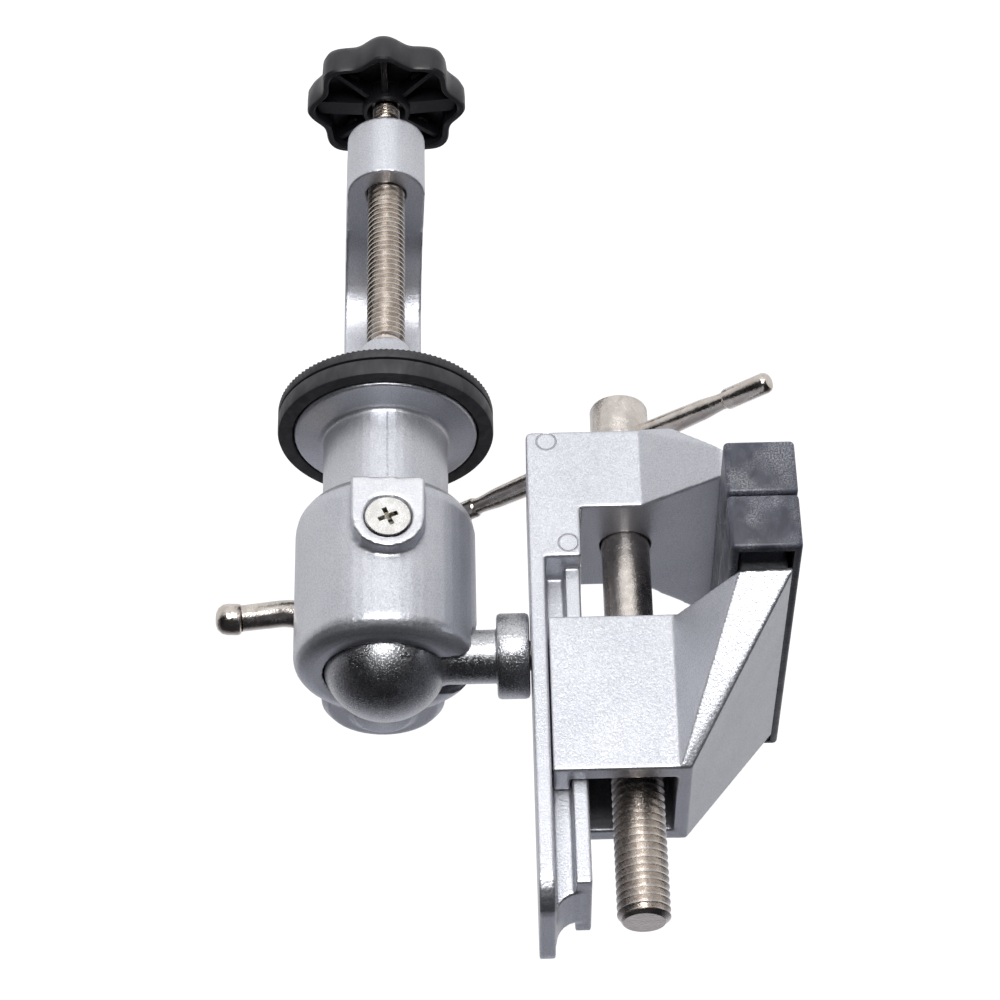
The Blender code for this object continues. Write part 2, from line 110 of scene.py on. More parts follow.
class Shader(NodeTree):
    """A Principled material with short calls for the nodes that give it detail."""

    def __init__(self, name, colour, roughness, metallic=0.0, specular=0.5):
        self.made = bpy.data.materials.new(name)
        super().__init__(self.made)
        self.base = self.nodes["Principled BSDF"]
        self.base.inputs["Base Color"].default_value = (*colour, 1)
        self.base.inputs["Roughness"].default_value = roughness
        self.base.inputs["Metallic"].default_value = metallic
        self.base.inputs["Specular IOR Level"].default_value = specular
        self.place = self.node("ShaderNodeTexCoord").outputs["Object"]

    def noise(self, grain_mm, detail=3.0, stretch=(1, 1, 1), distortion=0.0):
        """Noise whose features are about grain_mm across, longer along an axis where stretch is over 1."""
        scale = [1 / (grain_mm * MM * s) for s in stretch]
        place = self.node("ShaderNodeMapping", {"Vector": self.place, "Scale": scale}).outputs[0]
        return self.node("ShaderNodeTexNoise", {"Vector": place, "Scale": 1.0, "Detail": detail,
                                                "Distortion": distortion}).outputs["Fac"]

    def ramp(self, fac, stops):
        made = self.node("ShaderNodeValToRGB", {"Fac": fac})
        elements = made.color_ramp.elements
        while len(elements) < len(stops):
            elements.new(0.5)
        for element, (position, colour) in zip(elements, stops):
            element.position = position
            element.color = (*colour, 1) if len(colour) == 3 else colour
        return made.outputs["Color"]

    def grey(self, fac, *stops):
        return self.ramp(fac, [(position, (value,) * 3) for position, value in stops])

    def axis(self, name):
        return self.node("ShaderNodeSeparateXYZ", {"Vector": self.place}).outputs[name]

    def mix(self, fac, a, b):
        made = self.node("ShaderNodeMix", data_type="RGBA")
        for socket, value in ((made.inputs["Factor"], fac), (made.inputs[6], a), (made.inputs[7], b)):
            if isinstance(value, bpy.types.NodeSocket):
                self.links.new(value, socket)
            elif isinstance(value, tuple):
                socket.default_value = (*value, 1)
            else:
                socket.default_value = value
        return made.outputs[2]

    def product(self, first, *others):
        for other in others:
            first = self.math("MULTIPLY", first, other)
        return first

    def above(self, value, edge_mm, soft_mm):
        """1 where the value is over the edge and 0 where it is under it, with a soft step between."""
        return self.span(value, (edge_mm - soft_mm) * MM, (edge_mm + soft_mm) * MM)

    def near(self, distance, full_mm, none_mm):
        """1 within full_mm of a line and 0 past none_mm."""
        return self.span(distance, full_mm * MM, none_mm * MM, 1.0, 0.0)

    def bump(self, height, depth_mm):
        inputs = {"Height": height, "Distance": depth_mm * MM, "Strength": 1.0}
        if self.base.inputs["Normal"].links:
            inputs["Normal"] = self.base.inputs["Normal"].links[0].from_socket
        self.set("Normal", self.node("ShaderNodeBump", inputs).outputs[0])

    def set(self, socket, value):
        self.links.new(value, self.base.inputs[socket])


def dark_nicks(s, tone, amount):
    """Small dark nicks, in patches, where the paint is knocked off."""
    specks = s.span(s.noise(0.9, 3.0, stretch=(1.0, 1.0, 2.2), distortion=1.2), 0.80, 0.815)
    patch = s.span(s.noise(11.0, 1.0), 0.5, 0.6)
    return s.mix(s.product(specks, patch, amount), tone, (0.1, 0.1, 0.13))


def mould_seam(s, tone):
    """The fine broken line that the mould's halves leave down the front of the neck."""
    across = s.math("ABSOLUTE", s.math("SUBTRACT", s.axis("X"), SEAM_X * MM))
    height = s.axis("Z")
    below_top = s.math("SUBTRACT", 1.0, s.above(height, SEAM_HIGH, 0.5))
    ends = s.product(s.above(height, SEAM_LOW, 0.3), below_top)
    front = s.above(s.axis("Y"), 0.5, 0.5)
    broken = s.span(s.noise(0.9, 2.0), 0.35, 0.6, 0.25, 1.0)
    line = s.product(s.near(across, 0.05, 0.18), front, ends, broken)
    s.bump(line, 0.06)
    return s.mix(s.product(line, 0.3), tone, (0.25, 0.26, 0.3))


def ground_tab(s, tone):
    """Sideways grinding lines on the flat face of the tab round the lock's front screw."""
    forward = s.product(s.axis("Y"), math.cos(FRAME_TURN))
    sideways = s.product(s.axis("X"), -math.sin(FRAME_TURN))
    turned = s.math("ADD", forward, sideways)
    flat = s.product(s.above(turned, TAB_FACE_Y, 0.06), s.above(s.axis("Z"), TAB_FACE_LOW, 0.5))
    lines = s.noise(0.14, 3.0, stretch=(40, 1, 1))
    s.bump(s.product(lines, flat), 0.03)
    return s.mix(s.product(flat, s.span(lines, 0.3, 0.75, 0.1, 0.6)), tone, (0.78, 0.785, 0.80))


def ejector_ring(s, tone, x, z):
    """The shallow ring that an ejector pin leaves on the rail's front face."""
    away_x = s.math("POWER", s.math("SUBTRACT", s.axis("X"), x * MM), 2.0)
    away_z = s.math("POWER", s.math("SUBTRACT", s.axis("Z"), z * MM), 2.0)
    away = s.math("SQRT", s.math("ADD", away_x, away_z))
    off = s.math("ABSOLUTE", s.math("SUBTRACT", away, MARK_R * MM))
    ring = s.product(s.near(off, 0.06, 0.2), s.above(s.axis("Y"), RAIL_FACE_Y, 0.1))
    s.bump(s.product(ring, -1.0), 0.12)
    return s.mix(s.product(ring, 0.35), tone, (0.25, 0.26, 0.3))


def silver_paint(name, grain=0.5, depth=0.03, nick=0.0, machined=False, marks=()):
    """Silver paint over a casting: orange peel, fine flakes and the marks that this casting carries."""
    s = Shader(name, (0.6, 0.62, 0.66), 0.38, 0.86)
    broad = s.noise(9.0, 2.0)
    flakes = s.noise(0.28, 2.0)
    tone = s.ramp(broad, [(0.3, (0.55, 0.56, 0.61)), (0.7, (0.61, 0.62, 0.665))])
    tone = s.mix(s.span(flakes, 0.42, 0.7, 0.0, 0.45), tone, (0.86, 0.87, 0.91))
    tone = s.mix(s.span(flakes, 0.45, 0.3, 0.0, 0.2), tone, (0.3, 0.31, 0.35))
    if nick:
        tone = dark_nicks(s, tone, nick)
    s.set("Roughness", s.span(s.noise(0.5, 2.0), 0.3, 0.7, 0.30, 0.44))
    s.bump(s.noise(grain, 2.5), depth)
    s.bump(flakes, 0.02)
    if machined:
        tone = ground_tab(s, mould_seam(s, tone))
    for x, z in marks:
        tone = ejector_ring(s, tone, x, z)
    s.set("Base Color", tone)
    return s.made


def plated(name, low, high, rough_low=0.12, rough_high=0.3, pit=0.03, sunk=None):
    """Nickel plate or bare turned steel: pits, smears and, where sunk is given, painted shade below that Y.
    """
    s = Shader(name, high, 0.2, 1.0)
    smear = s.noise(2.2, 4.0, distortion=0.3)
    specks = s.noise(0.3, 2.0)
    tone = s.ramp(smear, [(0.35, low), (0.65, high)])
    tone = s.mix(s.span(specks, 0.62, 0.72, 0.0, 0.45), tone, tuple(c * 0.45 for c in low))
    # Painted shade: below the sunk Y the colour turns a dark brownish grey.
    if sunk:
        depth = s.span(s.axis("Y"), (sunk - 0.2) * MM, sunk * MM, 1.0, 0.0)
        tone = s.mix(depth, tone, (0.36, 0.34, 0.29))
    s.set("Base Color", tone)
    pits = s.noise(0.4, 3.0)
    wear = s.math("ADD", s.product(pits, 0.6), s.product(smear, 0.4))
    s.set("Roughness", s.span(wear, 0.35, 0.68, rough_low, rough_high))
    s.bump(s.span(pits, 0.35, 0.7), pit)
    return s.made


def speckled_chrome(name):
    """Chrome over a rough ball: a fine peened surface, with painted glints and painted dark specks in its
    colour for the sparkle of its reflection.
    """
    s = Shader(name, (0.72, 0.73, 0.75), 0.2, 1.0)
    specks = s.noise(0.3, 2.0)
    wide = s.noise(4.0, 3.0)
    tone = s.ramp(wide, [(0.3, (0.46, 0.465, 0.49)), (0.7, (0.58, 0.585, 0.605))])
    # Painted glints and painted dark reflection specks: bright and dark specks in the colour.
    tone = s.mix(s.span(specks, 0.56, 0.68, 0.0, 0.7), tone, (0.86, 0.87, 0.89))
    tone = s.mix(s.span(specks, 0.42, 0.32, 0.0, 0.7), tone, (0.16, 0.16, 0.18))
    s.set("Base Color", tone)
    s.set("Roughness", s.span(wide, 0.3, 0.7, 0.24, 0.34))
    s.bump(s.span(specks, 0.5, 0.75), 0.035)
    return s.made


def moulded(name, dark, light, roughness, grain=0.35, depth=0.02, specular=0.5, haze=0.0):
    """Moulded plastic or rubber: fine grain, faint scuffs, uneven gloss and, with haze, a pale bloom."""
    s = Shader(name, dark, roughness, 0.0, specular)
    scuffs = s.noise(2.4, 5.0, stretch=(1, 1, 1.8), distortion=0.8)
    tone = s.ramp(scuffs, [(0.35, dark), (0.8, light)])
    dust = s.noise(0.4, 2.0)
    tone = s.mix(s.span(dust, 0.72, 0.78, 0.0, 0.4), tone, tuple(min(1, c * 3 + 0.04) for c in light))
    if haze:
        patches = s.span(s.noise(5.5, 2.0), 0.42, 0.66)
        powder = s.span(s.noise(0.3, 2.0), 0.4, 0.7)
        tone = s.mix(s.product(patches, powder, haze), tone, (0.55, 0.56, 0.6))
        smudge = s.span(s.noise(1.6, 3.0, distortion=1.0), 0.70, 0.76)
        tone = s.mix(s.product(smudge, 0.6), tone, (0.01, 0.01, 0.013))
    s.set("Base Color", tone)
    s.set("Roughness", s.span(scuffs, 0.3, 0.75, roughness + 0.1, roughness - 0.08))
    s.bump(s.noise(grain, 3.0), depth)
    return s.made


PAINT = silver_paint("silver_paint", machined=True)
PAINT_ROUGH = silver_paint("silver_paint_rough", grain=0.5, depth=0.048, nick=0.85)
PAINT_RAIL = silver_paint("silver_paint_rail", grain=0.5, depth=0.045, nick=0.6, marks=EJECTOR_MARKS)
NICKEL = plated("nickel", (0.66, 0.59, 0.53), (0.84, 0.78, 0.72), pit=0.015)
NICKEL_BRIGHT = plated("nickel_bright", (0.82, 0.81, 0.78), (0.9, 0.89, 0.87), 0.2, 0.34, pit=0.008,
                       sunk=SLOT_SHADE_Y)
NICKEL_WORN = plated("nickel_worn", (0.72, 0.66, 0.61), (0.84, 0.78, 0.73), 0.16, 0.32, pit=0.02)
CHROME = speckled_chrome("speckled_chrome")
STEEL = plated("plain_steel", (0.42, 0.41, 0.40), (0.6, 0.59, 0.57), 0.28, 0.45)
KNOB_PLASTIC = moulded("knob_plastic", (0.010, 0.010, 0.013), (0.022, 0.022, 0.027), 0.33, 0.3, 0.015)
PAD_RUBBER = moulded("pad_rubber", (0.022, 0.022, 0.025), (0.045, 0.045, 0.05), 0.5, 0.3, 0.035, 0.4)
COVER_RUBBER = moulded("smoky_cover", (0.032, 0.034, 0.052), (0.085, 0.09, 0.12), 0.3, 0.6, 0.012,
                       haze=0.45)


# ---------------------------------------------------------------- mesh tools
AXES = {
    "X": Matrix.Rotation(math.pi / 2, 4, "Y"),
    "Y": Matrix.Rotation(-math.pi / 2, 4, "X"),
    "Z": Matrix(),
}


def finish_mesh(bm, name, material, smooth_deg=32.0, turn=0.0):
    """Turns a bmesh in millimetres into a linked object with smooth round faces and crisp edges."""
    bmesh.ops.remove_doubles(bm, verts=bm.verts, dist=1e-4)
    bmesh.ops.recalc_face_normals(bm, faces=bm.faces)
    bmesh.ops.scale(bm, vec=(MM,) * 3, verts=bm.verts)
    if turn:
        bmesh.ops.rotate(bm, cent=(0, 0, 0), matrix=Matrix.Rotation(turn, 3, "Z"), verts=bm.verts)
    mesh = bpy.data.meshes.new(name)
    bm.to_mesh(mesh)
    bm.free()
    mesh.polygons.foreach_set("use_smooth", [True] * len(mesh.polygons))
    mesh.set_sharp_from_angle(angle=math.radians(smooth_deg))
    mesh.materials.append(material)
    obj = bpy.data.objects.new(name, mesh)
    bpy.context.scene.collection.objects.link(obj)
    return obj


def add_box(bm, centre, size):
    bmesh.ops.create_cube(bm, size=1, matrix=Matrix.Translation(centre) @ Matrix.Diagonal((*size, 1)))


def add_lathe(bm, profile, axis="Z", centre=(0, 0, 0), steps=ROUND, wave=None):
    """Turns (radius, height) points about an axis. wave(angle, radius, height) may change a radius."""
    place = Matrix.Translation(centre) @ AXES[axis]
    rings = []
    for radius, height in profile:
        if radius <= 0:
            rings.append([bm.verts.new(place @ Vector((0, 0, height)))])
            continue
        ring = []
        for k in range(steps):
            a = 2 * math.pi * k / steps
            r = wave(a, radius, height) if wave else radius
            ring.append(bm.verts.new(place @ Vector((r * math.cos(a), r * math.sin(a), height))))
        rings.append(ring)
    if profile[0][0] > 0:
        rings.append(rings[0])
    for low, high in zip(rings, rings[1:]):
        for k in range(steps):
            after = (k + 1) % steps
            loop = [low[k % len(low)], low[after % len(low)], high[after % len(high)], high[k % len(high)]]
            unique = list(dict.fromkeys(loop))
            if len(unique) > 2:
                bm.faces.new(unique)


def add_thread(bm, centre, low, high, major, pitch, end_low, end_high, steps=64, depth=0.61):
    """A right-hand helical thread. Each end tapers at 45 degrees down to its end radius."""
    shape = [(0.0, 0.0), (0.10, 0.0), (0.46, 1.0), (0.58, 1.0), (0.94, 0.0)]
    turns = math.ceil((high - low) / pitch) + 2
    rows = []
    for turn in range(-1, turns):
        for part, cut in shape:
            row = []
            for k in range(steps):
                height = low + (turn + part + k / steps) * pitch
                height = min(max(height, low), high)
                radius = major - cut * depth * pitch
                radius = min(radius, end_low + (height - low), end_high + (high - height))
                a = 2 * math.pi * k / steps
                x, y = centre[0] + radius * math.cos(a), centre[1] + radius * math.sin(a)
                row.append(bm.verts.new((x, y, height)))
            rows.append(row)
    period = len(shape)
    for i in range(len(rows) - 1):
        for k in range(steps):
            if k < steps - 1:
                corners = [rows[i][k], rows[i][k + 1], rows[i + 1][k + 1], rows[i + 1][k]]
            elif i + 1 + period < len(rows):
                corners = [rows[i][k], rows[i + period][0], rows[i + 1 + period][0], rows[i + 1][k]]
            else:
                continue
            bm.faces.new(corners)
    bmesh.ops.remove_doubles(bm, verts=bm.verts, dist=1e-5)
    bmesh.ops.dissolve_degenerate(bm, edges=bm.edges, dist=1e-5)
    edges = [e for e in bm.edges if e.is_boundary]
    bmesh.ops.holes_fill(bm, edges=edges, sides=0)


def add_sweep(bm, path, radii, steps=40):
    """A round bar along a path with a radius at each point, closed at both ends."""
    points = [Vector(p) for p in path]
    side = Vector((0, 0, 1))
    rings = []
    for i, (point, radius) in enumerate(zip(points, radii)):
        ahead = points[min(i + 1, len(points) - 1)] - points[max(i - 1, 0)]
        ahead.normalize()
        side = side - ahead * side.dot(ahead)
        side.normalize()
        other = ahead.cross(side)
        rings.append([bm.verts.new(point + (side * math.cos(a) + other * math.sin(a)) * radius)
                      for a in (2 * math.pi * k / steps for k in range(steps))])
    for low, high in zip(rings, rings[1:]):
        for k in range(steps):
            bm.faces.new([low[k], low[(k + 1) % steps], high[(k + 1) % steps], high[k]])
    bm.faces.new(rings[0])
    bm.faces.new(rings[-1])


def spline(points, count):
    """Points on a smooth curve through the given points (Catmull-Rom)."""
    knots = [Vector(p) for p in points]
    knots = [2 * knots[0] - knots[1]] + knots + [2 * knots[-1] - knots[-2]]
    made = []
    spans = len(knots) - 3
    for i in range(count):
        t = spans * i / (count - 1)
        j = min(int(t), spans - 1)
        t -= j
        a, b, c, d = knots[j:j + 4]
        square, cube = 2 * a - 5 * b + 4 * c - d, 3 * b - a - 3 * c + d
        made.append(0.5 * ((2 * b) + (c - a) * t + square * t ** 2 + cube * t ** 3))
    return made


def piece(obj, body, slot, *nodes):
    """Says which body a new piece rides on and which CAD nodes it stands for. The slot argument is not
    used.
    """
    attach(obj, body)
    if nodes:
        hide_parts(*nodes)
    return obj


def carve(obj, *cutters):
    """Cuts the cutters out of an object's mesh and removes them."""
    for cutter in cutters:
        step = obj.modifiers.new(cutter.name, "BOOLEAN")
        step.operation = "DIFFERENCE"
        step.solver = "EXACT"
        step.object = cutter
    bpy.context.view_layer.update()
    obj.data = bpy.data.meshes.new_from_object(obj.evaluated_get(bpy.context.evaluated_depsgraph_get()))
    obj.data.set_sharp_from_angle(angle=math.radians(32))
    obj.modifiers.clear()
    for cutter in cutters:
        bpy.data.objects.remove(cutter)


def cast_finish(node, material, voxel_mm, rounds):
    """Gives a cast CAD node rounded edges and fillets, and its paint."""
    obj = NODES[node]
    remesh = obj.modifiers.new("fine_mesh", "REMESH")
    remesh.mode = "VOXEL"
    remesh.voxel_size = voxel_mm * MM
    remesh.use_smooth_shade = True
    soften = obj.modifiers.new("soft_edges", "SMOOTH")
    soften.factor = 0.5
    soften.iterations = rounds
    paint(node, material)


def paint(node, material):
    obj = NODES[node]
    obj.data.materials.clear()
    obj.data.materials.append(material)


CASTINGS = {
    "clamp_frame": (PAINT, (0.36, 4), (0.8, 3)),
    "clamp_foot": (PAINT_ROUGH, (0.5, 4), (0.5, 4)),
    "rail_fixed_jaw": (PAINT_RAIL, (0.32, 3), (0.6, 2)),
    "sliding_jaw": (PAINT_ROUGH, (0.32, 3), (0.6, 2)),
}
for node, (material, full, quick) in CASTINGS.items():
    cast_finish(node, material, *full)

for node in ("brake_shoe", "lock_shaft", "foot_retaining_ring", "stem_bolt", "jaw_nut", "thrust_washer",
             "screw_retaining_pin"):
    paint(node, STEEL)

# ---------------------------------------------------------------- clamp screw and knob
LOBES, LOBE_DEPTH = 8, 1.1
KNOB_R = KNOB_HIGH.y - LOBE_DEPTH
GRIP_INNER_R = 14.0
RIB_LOW, RIB_HALVES = -87.4, (1.9, 0.5, 0.7, 0.5)
RIB_ENDS = ((4.9, -83.4), (14.9, -84.2))
PEG_RADIUS = 10.2
BOX_FACES = ((0, 1, 2, 3), (7, 6, 5, 4), (0, 4, 5, 1), (1, 5, 6, 2), (2, 6, 7, 3), (3, 7, 4, 0))


def clamp_screw():
    bm = bmesh.new()
    add_lathe(bm, [(0, -9.0), (3.0, -9.0), (3.4, -9.5), (3.4, -11.2), (2.6, -11.2), (2.6, -12.8),
                   (3.4, -12.8), (3.4, -19.5), (0, -19.5)])
    add_thread(bm, (0, 0), -79.2, -18.9, 3.94, 1.25, 2.9, 3.1)
    add_thread(bm, (0, 0), -83.0, -78.6, 2.9, 0.8, 2.4, 2.4)
    add_lathe(bm, [(0, -82.9), (2.5, -82.9), (2.5, -85.0), (3.6, -85.0), (3.6, -89.5), (0, -89.5)])
    piece(finish_mesh(bm, "threaded_clamp_screw", NICKEL), "clamp_drive", "nickel", "clamp_screw")


def lobed(angle, radius, _height):
    """The knob's grip is wavy, and its web and hub are round."""
    if radius <= GRIP_INNER_R:
        return radius
    return radius + (radius / KNOB_R) * LOBE_DEPTH * math.cos(LOBES * (angle - math.pi / 2))


def add_rib(bm, along, across, half):
    """A rib from the knob's hub to its rim, thicker at its foot."""
    verts = []
    for radius, top in RIB_ENDS:
        for side, height in ((-half - 0.3, RIB_LOW), (-half, top), (half, top), (half + 0.3, RIB_LOW)):
            verts.append(bm.verts.new(along * radius + across * side + Vector((0, 0, height))))
    for face in BOX_FACES:
        bm.faces.new([verts[i] for i in face])


def knob():
    bm = bmesh.new()
    dome = [(0, -92.0), (7.0, -91.9), (11.5, -91.4), (14.2, -90.6), (15.4, -89.6), (16.0, -88.2)]
    grip = [(16.1, -86.0), (16.1, -83.2), (15.8, -82.75), (14.9, -82.7), (14.5, -83.0), (14.3, -87.0)]
    hub = [(5.6, -87.0), (5.2, -86.4), (5.2, -82.4), (4.9, -82.0), (4.2, -82.05), (3.9, -82.5)]
    hole = [(3.3, -83.4), (3.2, -84.9), (3.9, -84.9), (3.9, -89.8), (0, -89.8)]
    add_lathe(bm, dome + grip + hub + hole, steps=160, wave=lobed)
    for k in range(LOBES):
        angle = 2 * math.pi * k / LOBES
        along = Vector((math.cos(angle), math.sin(angle), 0))
        across = Vector((-math.sin(angle), math.cos(angle), 0))
        add_rib(bm, along, across, RIB_HALVES[k % len(RIB_HALVES)])
        if k % 2:
            peg = [(0, -87.3), (1.7, -87.3), (1.7, -85.6), (1.4, -85.3), (0, -85.3)]
            add_lathe(bm, peg, centre=along * PEG_RADIUS, steps=24)
    piece(finish_mesh(bm, "lobed_knob", KNOB_PLASTIC), "clamp_drive", "black_plastic", "clamp_knob")


clamp_screw()
knob()

# ---------------------------------------------------------------- rubber pads
TEETH, TOOTH_DEPTH = 120, 0.32


def table_pad():
    bm = bmesh.new()
    add_lathe(bm, [(0, 0), (21.3, 0), (21.65, 0.15), (21.75, 0.5), (21.75, 3.1), (21.6, 3.5), (21.3, 3.6),
                   (18.95, 3.6), (18.75, 3.4), (18.75, 1.5), (0, 1.5)], steps=160)
    piece(finish_mesh(bm, "table_pad_cup", PAD_RUBBER), "frame", "black_rubber", "table_pad")


def serrated(angle, radius, height):
    """Fine teeth round the foot pad's lower rim."""
    if height >= -2.0 or radius <= 21:
        return radius
    return radius - TOOTH_DEPTH * abs(math.sin(TEETH * angle / 2))


def foot_pad():
    bm = bmesh.new()
    add_lathe(bm, [(0, -0.3), (21.3, -0.3), (21.65, -0.45), (21.75, -0.75), (21.75, -1.7), (21.65, -2.1),
                   (21.6, -2.5), (21.2, -2.8), (18.5, -2.8), (18.5, -2.1), (0, -2.1)],
              steps=TEETH * 6, wave=serrated)
    piece(finish_mesh(bm, "serrated_foot_pad", PAD_RUBBER), "foot", "black_rubber", "foot_pad")


table_pad()
foot_pad()


# ---------------------------------------------------------------- ball, stem and collar
def ball_and_stem():
    arc = [(0, -BALL_R)]
    for degrees in range(-87, 66, 3):
        angle = math.radians(degrees)
        arc.append((BALL_R * math.cos(angle), BALL_R * math.sin(angle)))
    stem = [(5.25, 11.6), (5.2, 12.2), (5.2, 21.2)]
    collar = [(5.5, 21.4), (7.4, 21.4), (8.0, 21.6), (8.25, 22.2), (8.25, 26.9), (8.0, 27.5), (7.4, 27.7)]
    bolt_hole = [(3.2, 27.7), (3.2, 13.0), (0, 13.0)]
    bm = bmesh.new()
    add_lathe(bm, arc + stem + collar + bolt_hole, "X", (0, 0, BALL_Z), steps=128)
    piece(finish_mesh(bm, "ball_and_stem", CHROME), "ball", "chrome", "ball_stem")


ball_and_stem()

# ---------------------------------------------------------------- lock lever and its two screws
LEVER_PATH = ((-5.2, -23.0, 35.0), (-8, -22.7, 34.3), (-13, -21.8, 33.3), (-18.8, -21.0, 32.9),
              (-23.5, -20.4, 33.8), (-28.6, -19.9, 34.9))
LEVER_RADII = (3.8, 3.7, 3.3, 2.8, 2.7, 2.65)
LEVER_STATIONS = 28
BULB = (-30.6, -19.9, 35.1)
CAP_TOP, CAP_SLOT = -29.4, (12, 2.2, 1.3)
HEAD_TOP, CROSS_TURN, CROSS_ARM, CROSS_TAPER = 20.3, math.radians(24), (4.7, 2.6, 0.95), 0.7


def lever():
    bm = bmesh.new()
    hub = [(3.9, -18.9), (6.0, -18.9), (6.6, -19.5), (6.6, -25.6), (5.8, -26.5), (3.9, -26.5)]
    add_lathe(bm, hub, "Y", (0, 0, LOCK_Z))
    radii = [v.x for v in spline([(radius, 0, 0) for radius in LEVER_RADII], LEVER_STATIONS)]
    add_sweep(bm, spline(LEVER_PATH, LEVER_STATIONS), radii)
    bulb = [(0, -3.0), (1.2, -2.92), (2.2, -2.5), (2.95, -1.6), (3.18, -0.6), (3.18, 1.5), (3.0, 2.0),
            (2.5, 2.3), (0, 2.4)]
    add_lathe(bm, bulb, "X", BULB, steps=64)
    piece(finish_mesh(bm, "curved_lock_lever", NICKEL, turn=FRAME_TURN), "lock", "chrome", "lock_lever")


def cap_screw():
    """The slotted screw that holds the lever on its shaft, at the back."""
    bm = bmesh.new()
    add_lathe(bm, [(0, CAP_TOP), (4.2, CAP_TOP), (4.75, CAP_TOP + 0.2), (5.0, CAP_TOP + 0.65), (5.0, -27.3),
                   (1.5, -27.2), (1.5, -20.4), (0, -20.4)], "Y", (0, 0, LOCK_Z))
    cap = finish_mesh(bm, "slotted_cap_screw", NICKEL, turn=FRAME_TURN)
    bm = bmesh.new()
    add_box(bm, (0, CAP_TOP - 0.1, LOCK_Z), CAP_SLOT)
    carve(cap, finish_mesh(bm, "slot_cutter", NICKEL, turn=FRAME_TURN))
    piece(cap, "lock", "nickel", "lever_screw")


def cross_slot_cutter(k):
    """One arm of the cross, narrower at its bottom."""
    bm = bmesh.new()
    add_box(bm, (0, 0, 0), CROSS_ARM)
    for v in bm.verts:
        if v.co.y < 0:
            v.co.x *= CROSS_TAPER
    turn = Matrix.Rotation(CROSS_TURN + k * math.pi / 2, 3, "Y")
    bmesh.ops.rotate(bm, cent=(0, 0, 0), matrix=turn, verts=bm.verts)
    bmesh.ops.translate(bm, vec=(0, HEAD_TOP, LOCK_Z + 0.01 * k), verts=bm.verts)
    return finish_mesh(bm, f"cross_cutter_{k}", NICKEL, turn=FRAME_TURN)


def front_screw():
    bm = bmesh.new()
    shank = [(0, 6.9), (1.9, 6.9), (1.9, 17.8)]
    countersunk = [(4.35, 19.95), (4.4, 20.1), (4.2, HEAD_TOP), (0, HEAD_TOP)]
    add_lathe(bm, shank + countersunk, "Y", (0, 0, LOCK_Z))
    head = finish_mesh(bm, "cross_slot_screw", NICKEL_BRIGHT, turn=FRAME_TURN)
    carve(head, cross_slot_cutter(0), cross_slot_cutter(1))
    piece(head, "lock", "nickel", "lock_shaft_screw")


lever()
cap_screw()
front_screw()

# ---------------------------------------------------------------- vise screw and its bar
BAR_TURN, BAR_OFFSET = math.atan2(48.0, 66.2), 5.4


def vise_screw():
    bm = bmesh.new()
    head = [(0, -1.5), (5.1, -1.5), (5.6, -1.3), (5.83, -0.8), (5.83, 11.6), (5.6, 12.0), (4.75, 12.0)]
    shank = [(4.75, 20.2), (3.0, 20.2), (3.0, 23.8), (4.75, 23.8), (4.75, 60.8), (0, 60.8)]
    add_lathe(bm, head + shank, centre=(SCREW_X, 0, 0))
    add_thread(bm, (SCREW_X, 0), 60.2, SCREW_HIGH.z, 4.94, 1.5, 4.3, 3.9)
    piece(finish_mesh(bm, "threaded_vise_screw", NICKEL_WORN), "vise_drive", "nickel", "vise_screw")


def t_bar():
    """A bar that is slimmer towards its ends, each of which is a plain stub."""
    along = Vector((math.cos(BAR_TURN), math.sin(BAR_TURN), 0))
    centre = Vector((SCREW_X, 0, T_BAR_Z)) - along * BAR_OFFSET
    half = [(40.9, 1.0), (40.8, 1.5), (40.4, 1.9), (39.8, 2.1), (31.2, 2.1), (30.9, 2.0), (30.5, 1.7),
            (29.6, 1.66), (28.4, 1.75), (25.5, 2.05), (20.0, 2.2), (10.0, 2.4), (0, 2.45)]
    stations = half + [(-s, r) for s, r in reversed(half[:-1])]
    bm = bmesh.new()
    add_sweep(bm, [centre + along * s for s, _ in stations], [r for _, r in stations])
    piece(finish_mesh(bm, "turned_t_bar", NICKEL), "t_bar", "nickel", "t_bar")


vise_screw()
t_bar()

# ---------------------------------------------------------------- jaw covers
COVER_ROUND, COVER_WALL = 0.9, Vector((1.5, 1.5, 1.45))


def cover(name, node, body, open_side):
    """A rubber cap with rounded corners and a hollow for the jaw bar, open on one side."""
    low, high = (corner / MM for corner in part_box(node))
    bm = bmesh.new()
    add_box(bm, (low + high) / 2, high - low)
    bmesh.ops.bevel(bm, geom=bm.edges[:], offset=COVER_ROUND, segments=4, profile=0.5, affect="EDGES")
    obj = finish_mesh(bm, name, COVER_RUBBER, 50)
    inner_low, inner_high = low + COVER_WALL, high - COVER_WALL
    if open_side > 0:
        inner_high.z = high.z + 2
    else:
        inner_low.z = low.z - 2
    bm = bmesh.new()
    add_box(bm, (inner_low + inner_high) / 2, inner_high - inner_low)
    carve(obj, finish_mesh(bm, name + "_hollow", COVER_RUBBER))
    piece(obj, body, "smoke_rubber", node)


cover("fixed_cover_cap", "fixed_jaw_cover", "rail", -1)
cover("sliding_cover_cap", "sliding_jaw_cover", "jaw", 1)

# ---------------------------------------------------------------- studio
KNOB_ROOM = 0.038  # the knob comes down this far when the clamp opens
FLOOR_Z, FLOOR_SIZE = CAD_BOX[0][2] - KNOB_ROOM, 3.0
FLOOR_NEAR, FLOOR_FRONT = 0.6, 0.2
WORLD_BACK, WORLD_FRONT, WORLD_SIDE = 0.75, 0.03, 0.4
FRONT = (0, 0.55, 0.83)


